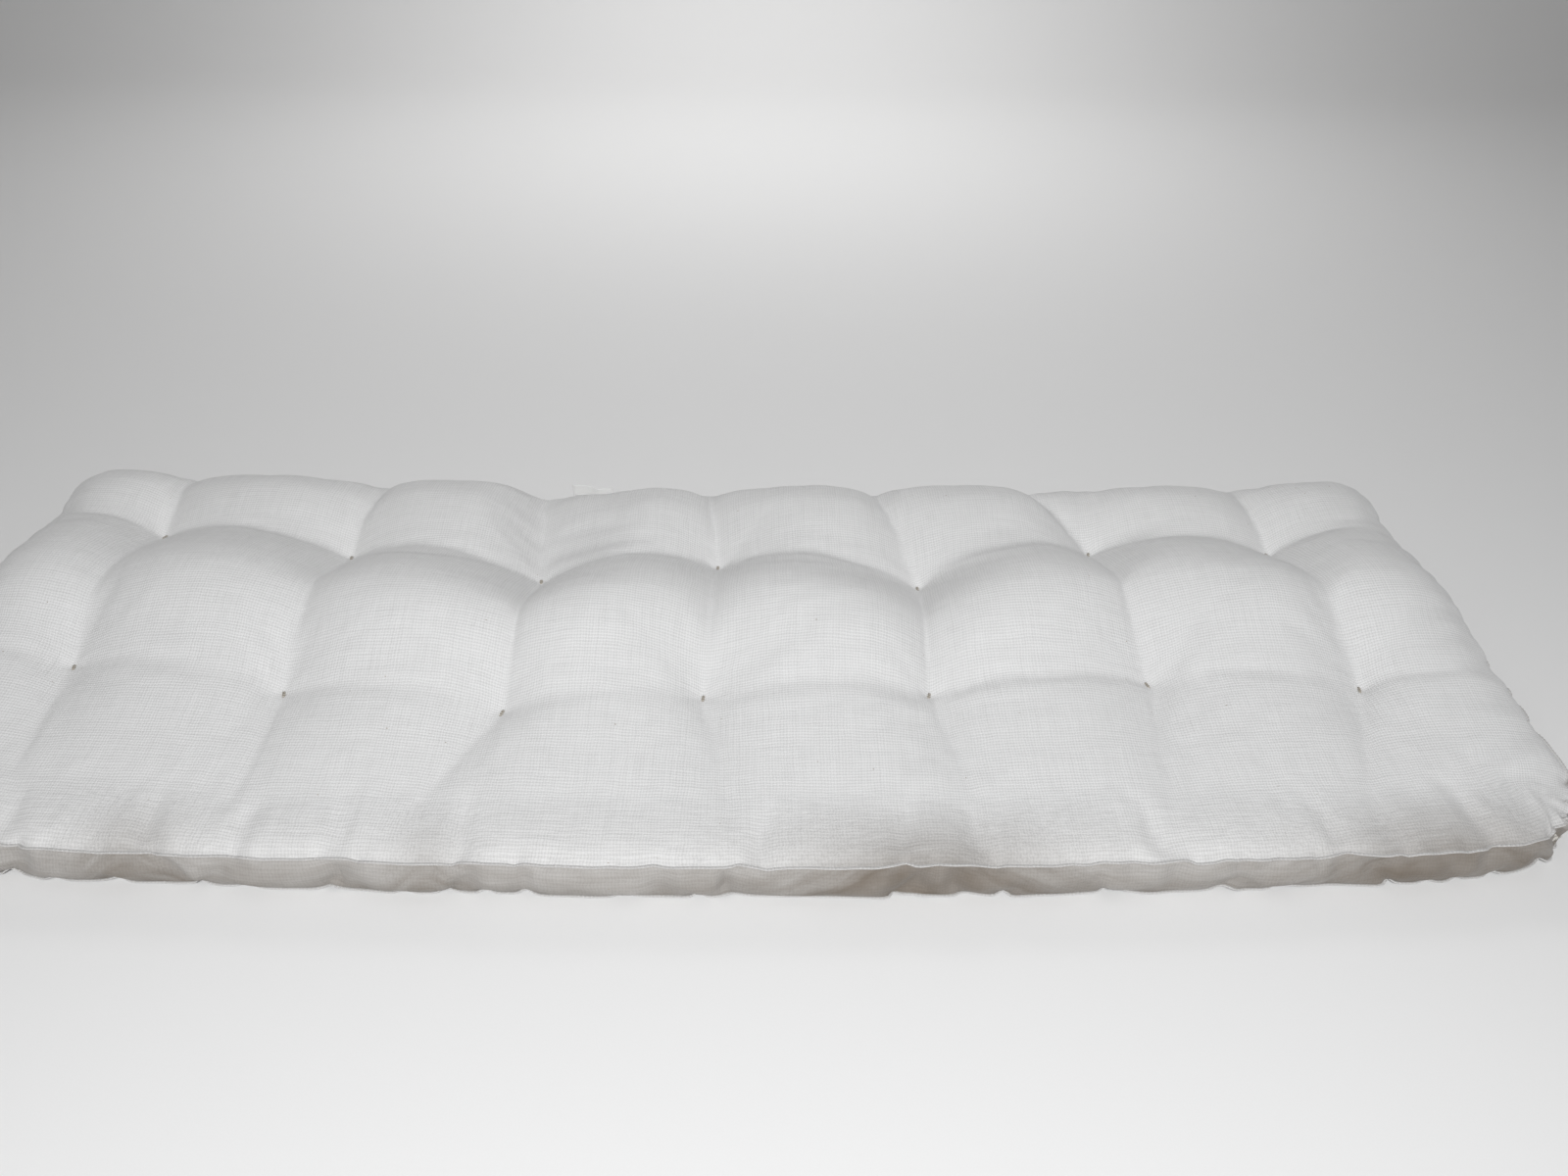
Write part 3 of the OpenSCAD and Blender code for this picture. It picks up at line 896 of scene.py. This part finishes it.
def make_seam(name, points, nodes, cotton, thread):
    """A slim sewn ridge, with a line of stitches that is seen just above it."""
    ring = smooth_ring(points)
    outward = outward_of(ring)
    ridge = tube(ring + outward * SEAM_R * 0.45, SEAM_R, 8, closed=True, squeeze=0.62)
    piece = new_piece(name, ridge[0], ridge[1], cotton, ridge[2] * np.array([0.011, 1.0, 1.0]))
    finish_across_fold(piece, "seam", nodes)

    length = np.linalg.norm(np.roll(ring, -1, axis=0) - ring, axis=1)
    run = np.concatenate([[0.0], np.cumsum(length)])
    closed_ring = np.vstack([ring, ring[:1]])
    closed_out = np.vstack([outward, outward[:1]])
    stitches = []
    for start in np.arange(0.0, run[-1] - STITCH_PITCH, STITCH_PITCH):
        at = start + np.array([0.0, 0.18, 0.5, 0.82, 1.0]) * STITCH_L
        middle = np.stack([np.interp(at, run, closed_ring[:, c]) for c in range(3)], axis=1)
        out = np.stack([np.interp(at, run, closed_out[:, c]) for c in range(3)], axis=1)
        rise = np.array([-0.5, 0.3, 0.6, 0.3, -0.5])[:, None] * STITCH_R
        path = middle + out * (SEAM_R * 0.95 + rise) + np.array([0, 0, SEAM_R * 0.52]) + rise * [0, 0, 1]
        stitches.append(tube(path, STITCH_R * np.array([0.6, 1, 1, 1, 0.6]), 6))
    verts, faces, flat = joined(stitches)
    row = new_piece(f"{name}_stitches", verts, faces, thread, flat)
    finish_across_fold(row, "seam", [])


def finish_across_fold(piece, slot, nodes):
    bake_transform(piece)
    if nodes:
        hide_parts(*nodes)


# ---------------------------------------------------------------- ties, label and filling


def surface_height(tree, x, y, from_above):
    """The height of a panel over a point of the floor."""
    start = Vector((x, y, 0.5 if from_above else -0.5))
    hit = tree.ray_cast(start, Vector((0, 0, -1 if from_above else 1)))[0]
    return hit.z


def tree_of(piece):
    mesh = piece.data
    return BVHTree.FromPolygons([v.co for v in mesh.vertices], [tuple(p.vertices) for p in mesh.polygons])


BAR_L = 0.013
BAR_STRANDS = (-0.0011, -0.00035, 0.00040, 0.0011)
STRAND_R = 0.00048
TWINE_R = 0.0011


def make_tie(name, thread, rng, top_z, bottom_z):
    """Twine through the mattress: a bar of stitches on the top and a knot with two tails."""
    x, y = TUFT_XY[name]
    lean = rng.uniform(-0.30, 0.30)
    across = np.array([math.cos(lean), math.sin(lean), 0])
    along = np.array([-math.sin(lean), math.cos(lean), 0])
    middle = np.array([x, y, 0.0])
    parts = []
    for offset in BAR_STRANDS:
        half = BAR_L / 2 * rng.uniform(0.88, 1.0)
        places = np.array([-1.02, -0.98, -0.80, -0.30, 0.25, 0.78, 0.98, 1.02]) * half
        rise = np.array([-4.2, -0.8, 0.55, 0.95, 1.05, 0.55, -0.8, -4.2]) * 0.001
        drift = offset * np.array([0.3, 0.6, 1, 1, 1, 1, 0.6, 0.3]) + rng.uniform(-0.00012, 0.00012, 8)
        path = middle + places[:, None] * along + drift[:, None] * across
        path[:, 2] = top_z + rise + rng.uniform(0, 0.00025)
        parts.append(tube(path, STRAND_R, 7, up=across))
    for offset in (-0.25, 0.30):
        turn = np.linspace(-0.15 * math.pi, 1.15 * math.pi, 9)
        path = (middle + along * offset * BAR_L * 0.5 + across * (np.cos(turn) * 0.0019)[:, None])
        path[:, 2] = top_z + 0.0006 + np.sin(turn) * 0.0010
        parts.append(tube(path, STRAND_R * 0.9, 7, up=along))

    levels = np.linspace(top_z - 0.0005, bottom_z - 0.002, 26)
    for strand in (0.0, math.pi):
        turn = strand + (levels - bottom_z) / 0.009 * 2 * math.pi
        path = middle + across * (np.cos(turn) * TWINE_R * 0.55)[:, None]
        path += along * (np.sin(turn) * TWINE_R * 0.55)[:, None]
        path[:, 2] = levels
        parts.append(tube(path, TWINE_R * 0.62, 8, up=(1.0, 0.0, 0.0)))

    t = np.linspace(0, 2 * math.pi, 40, endpoint=False)
    size = (KNOT_D / 2 - TWINE_R * 0.8) / 3.0
    knot = np.stack([np.sin(t) + 2 * np.sin(2 * t), np.cos(t) - 2 * np.cos(2 * t),
                     -1.6 * np.sin(3 * t)], axis=1)
    knot = knot * size + [x, y, bottom_z - KNOT_D / 2 + 0.0004]
    parts.append(tube(knot, TWINE_R * 0.85, 8, closed=True, up=(0.31, 0.20, 0.93)))
    for side in (-1, 1):
        heading = rng.uniform(0, 2 * math.pi) if side < 0 else heading + rng.uniform(0.6, 1.6)
        length = rng.uniform(0.010, 0.014)
        f = np.linspace(0, 1, 9)
        reach = 0.0015 + length * f
        bend = heading + 0.5 * f * side
        tail = np.stack([x + np.cos(bend) * reach, y + np.sin(bend) * reach,
                         bottom_z - 0.0045 - 0.0012 * np.sin(f * math.pi) * side], axis=1)
        parts.append(tube(tail, TWINE_R * np.array([0.8] * 7 + [0.95, 1.15]) * 0.8, 7))
    verts, faces, flat = joined(parts)
    piece = new_piece(name.replace("tuft_tie", "tie"), verts, faces, thread, flat)
    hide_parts(name)
    column = int(name.rsplit("_", 1)[1])
    if abs(x - FOLD_X) < FOLD_END[0] - FOLD_X:
        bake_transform(piece)
    else:
        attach(piece, "left_half" if column <= FOLDING_TIES else "right_half")


def make_ties(top, bottom):
    rng = np.random.default_rng(SEED)
    thread = twisted_thread("tuft_twine", (0.60, 0.56, 0.50, 1.0), (0.28, 0.25, 0.21, 1.0), 0.0032)
    top_tree, bottom_tree = tree_of(top), tree_of(bottom)
    for name in TIES:
        x, y = TUFT_XY[name]
        make_tie(name, thread, rng, surface_height(top_tree, x, y, True),
                 surface_height(bottom_tree, x, y, False))


def make_label(ring):
    """A blank folded tape that stands out of the back seam and curls over a little."""
    low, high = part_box("care_label")
    thickness = 0.0006
    across, up = 25, 12
    near = ring[np.abs(ring[:, 1] - ring[:, 1].max()) < 0.06]
    near = near[np.argsort(near[:, 0])]
    verts = []
    for front in (0, 1):
        for j in range(up + 1):
            for i in range(across + 1):
                f, g = i / across, j / up
                x = low.x + (high.x - low.x) * f
                foot = np.interp(x, near[:, 0], near[:, 1]), np.interp(x, near[:, 0], near[:, 2])
                curl = 0.010 * g * g + 0.0025 * math.sin(f * 5.2 + 0.7) * g
                verts.append((x + 0.002 * g * math.sin(f * 2.1),
                              foot[0] + 0.0012 - curl * 0.5 - front * thickness,
                              foot[1] - 0.001 + (high.z - low.z) * g - 0.004 * g * f))
    faces, row, page = [], across + 1, (across + 1) * (up + 1)
    for j in range(up):
        for i in range(across):
            a = j * row + i
            faces.append((a + 1, a, a + row, a + row + 1))
            faces.append((page + a, page + a + 1, page + a + row + 1, page + a + row))
    edge = ([i for i in range(across)] + [across + j * row for j in range(up)]
            + [up * row + i for i in range(across, 0, -1)] + [j * row for j in range(up, 0, -1)])
    for a, b in zip(edge, edge[1:] + edge[:1]):
        faces.append((a, b, page + b, page + a))
    label = new_piece("label", verts, faces, tape_cloth())
    subdivide(label)
    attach(label, "left_half")
    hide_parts("care_label")


CORE_SHARE = (0.332, 0.668)  # the foam core's place in the height of the filling
BATTING_LAYERS = 3


def make_filling(casing, shape):
    """The layers of filling, which follow the stuffed casing from inside it."""
    every = 2  # the layers' mesh uses every second vertex of the cloth's
    inset = 2
    rows = np.arange(inset, casing.nx + 1 - inset, every)
    cols = np.arange(inset, casing.ny + 1 - inset, every)

    def calm(grid, pick):
        """The panel's surface, drawn in to the nearest of its neighbours' heights."""
        heights = shape[grid][:, :, 2]
        steps = (-2, -1, 0, 1, 2)
        near = [np.roll(np.roll(heights, i, axis=0), j, axis=1) for i in steps for j in steps]
        place = shape[grid].copy()
        place[:, :, 2] = pick(near, axis=0)
        return place[np.ix_(rows, cols)]

    roof, base = calm(casing.top, np.min), calm(casing.bottom, np.max)
    thin = np.maximum(roof[:, :, 2] - base[:, :, 2], 0.012)
    roof[:, :, 2] = base[:, :, 2] + thin
    low, high = base.copy(), roof.copy()
    low[:, :, 2] += 0.0020
    high[:, :, 2] -= 0.0025

    def layer(name, start, end, material, slot):
        gap = 0.006
        under = low + (high - low) * (start + gap)
        over = low + (high - low) * (end - gap)
        grid = np.arange(len(rows) * len(cols)).reshape(len(rows), len(cols))
        page = grid.size
        faces = [*FlatCasing.quads(grid)[:, ::-1].tolist(), *FlatCasing.quads(grid + page).tolist()]
        edge = [*grid[:-1, 0], *grid[-1, :-1], *grid[:0:-1, -1], *grid[0, :0:-1]]
        for a, b in zip(edge, edge[1:] + edge[:1]):
            faces.append((int(a), int(b), int(b) + page, int(a) + page))
        verts = np.vstack([under.reshape(-1, 3), over.reshape(-1, 3)])
        piece = new_piece(name, verts, faces, material)
        finish_across_fold(piece, slot, both(name))

    cotton = loose_cotton("batting_cotton", (0.86, 0.84, 0.79, 1.0), (0.66, 0.62, 0.54, 1.0))
    share = CORE_SHARE[0] / BATTING_LAYERS
    for k in range(BATTING_LAYERS):
        layer(f"lower_batting_{k + 1}", k * share, (k + 1) * share, cotton, "batting")
    layer("foam_core", *CORE_SHARE, open_foam(), "foam")
    for k in range(BATTING_LAYERS):
        start = CORE_SHARE[1] + k * share
        layer(f"upper_batting_{k + 1}", start, start + share, cotton, "batting")


# ---------------------------------------------------------------- the whole scene

place_camera()
light_scene()
lay_floor()
casing = FlatCasing()
goal, weight = casing.targets()
stuffed = settle(casing, calm(casing, stuff(casing, goal, weight), goal))
top_panel, bottom_panel, border = make_casing(casing, stuffed)
# The seam's ridge is a darker copy of the casing cotton, and its white thread is made grey: painted shade
# along the seam
seam_cotton_shaded = woven_cotton("seam_cotton_shaded", grey(0.56, 0.008), grey(0.42, 0.010))
seam_thread_shaded = twisted_thread("sewing_thread_shaded", grey(0.68, 0.008), grey(0.48, 0.016), 0.0012)
for seam, row in (("top_edge_seam", 0), ("bottom_edge_seam", -1)):
    make_seam(seam, stuffed[casing.rows[row]], both(seam), seam_cotton_shaded, seam_thread_shaded)
make_ties(top_panel, bottom_panel)
make_label(smooth_ring(stuffed[casing.rows[0]]))
make_filling(casing, stuffed)
